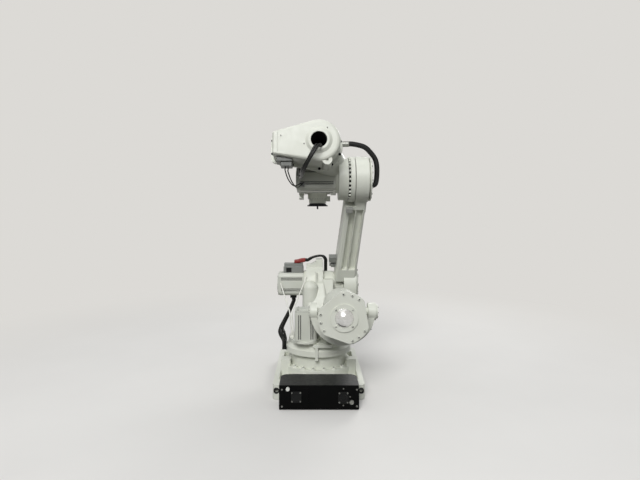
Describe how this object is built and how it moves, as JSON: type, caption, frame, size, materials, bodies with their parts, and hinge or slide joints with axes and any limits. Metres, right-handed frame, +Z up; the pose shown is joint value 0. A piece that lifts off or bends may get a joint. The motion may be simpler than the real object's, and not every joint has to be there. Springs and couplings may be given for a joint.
{
  "type": "industrial robot arm",
  "caption": "Floor-standing jointed industrial robot arm with a leaning lower arm, a hollow upper arm, finned motors, a spring balance cylinder and a connector box",
  "frame": {"origin": "on axis 1 at the underside of the foot casting", "axes": "+X forward, the way the arm reaches; +Y to the arm's left; +Z up"},
  "size_m": [1.8544, 0.8936, 2.1587],
  "materials": {
    "paint": "satin",
    "black_box": "satin",
    "connector_grey": "satin",
    "plug_white": "matte",
    "motor_cap_grey": "satin",
    "cap_red": "matte",
    "polished": "polished",
    "steel": "brushed",
    "hose_black": "matte",
    "cord_white": "matte",
    "bumper_grey": "matte",
    "flange_black": "oxide"
  },
  "bodies": {
    "base": {"base_casting": "paint", "connector_box": "black_box", "connector_panel": "black_box", "square_connector": "black_box", "round_connector": "black_box", "panel_gland": "connector_grey", "panel_plug": "plug_white", "foot_plugs": "hose_black"},
    "frame": {"turntable": "paint", "frame_casting": "paint", "balance_yoke": "paint", "axis1_motor": "paint", "axis1_motor_cap": "motor_cap_grey", "axis2_motor": "paint", "axis2_motor_cap": "motor_cap_grey", "motor_terminal_box": "connector_grey", "terminal_cap": "cap_red", "trunnion_covers": "paint", "harness_clamps": "hose_black", "frame_harness": "hose_black", "top_harness": "hose_black", "frame_cords": "cord_white"},
    "balance_cylinder": {"balance_barrel": "paint", "balance_cover": "paint", "balance_cap": "polished"},
    "balance_link": {"balance_rod": "steel"},
    "lower_arm": {"lower_arm_casting": "paint", "rod_pin": "steel", "foot_cover": "paint", "head_cover": "paint", "arm_gland": "hose_black", "arm_bumper": "bumper_grey", "arm_clamps": "connector_grey"},
    "arm_house": {"arm_housing": "paint", "gear_cover": "paint", "axis3_motor": "paint", "axis3_motor_cap": "motor_cap_grey", "axis4_motor": "paint", "axis4_motor_cap": "motor_cap_grey", "house_connector": "connector_grey", "hose_fitting": "connector_grey", "arm_hose": "hose_black", "passage_cables": "hose_black", "motor_plug": "connector_grey", "motor_leads": "hose_black"},
    "forearm_body": {"forearm": "paint", "fork_covers": "paint"},
    "wrist": {"tilt_housing": "paint"},
    "tool": {"tool_flange": "flange_black"}
  },
  "joints": [
    {"name": "axis_1", "type": "hinge", "parent": "base", "child": "frame", "pos_m": [0, 0, 0.262], "axis": [0, 0, 1], "range_deg": [-170, 170]},
    {"name": "axis_2", "type": "hinge", "parent": "frame", "child": "lower_arm", "pos_m": [0.32, -0.2, 0.78], "axis": [0, 1, 0], "range_deg": [-37, 113]},
    {"name": "axis_3", "type": "hinge", "parent": "lower_arm", "child": "arm_house", "pos_m": [-0.18468, -0.3, 1.72917], "axis": [0, -1, 0], "range_deg": [-33.5, 216.5], "deforming": ["arm_hose"]},
    {"name": "axis_4", "type": "hinge", "parent": "arm_house", "child": "forearm_body", "pos_m": [-0.15512, 0, 1.92697], "axis": [0.989, 0, -0.1478], "range_deg": [-300, 300]},
    {"name": "axis_5", "type": "hinge", "parent": "forearm_body", "child": "wrist", "pos_m": [0.97434, 0, 1.75817], "axis": [0, 1, 0], "range_deg": [-201.5, 38.5]},
    {"name": "axis_6", "type": "hinge", "parent": "wrist", "child": "tool", "pos_m": [0.97434, 0, 1.50817], "axis": [0, 0, -1], "range_deg": [-300, 300]},
    {"name": "balance_swing", "type": "hinge", "parent": "frame", "child": "balance_cylinder", "pos_m": [-0.39, -0.19, 0.66], "axis": [0, -1, 0], "range_deg": [-7.6, 23.2]},
    {"name": "rod_swing", "type": "hinge", "parent": "lower_arm", "child": "balance_link", "pos_m": [0.20535, -0.19, 0.65448], "axis": [0, -1, 0], "range_deg": [-44.6, 136.2]}
  ],
  "couplings": [
    {"joint": "balance_swing", "follows": "axis_2", "ratio": 0.205},
    {"joint": "rod_swing", "follows": "axis_2", "ratio": 1.205}
  ]
}
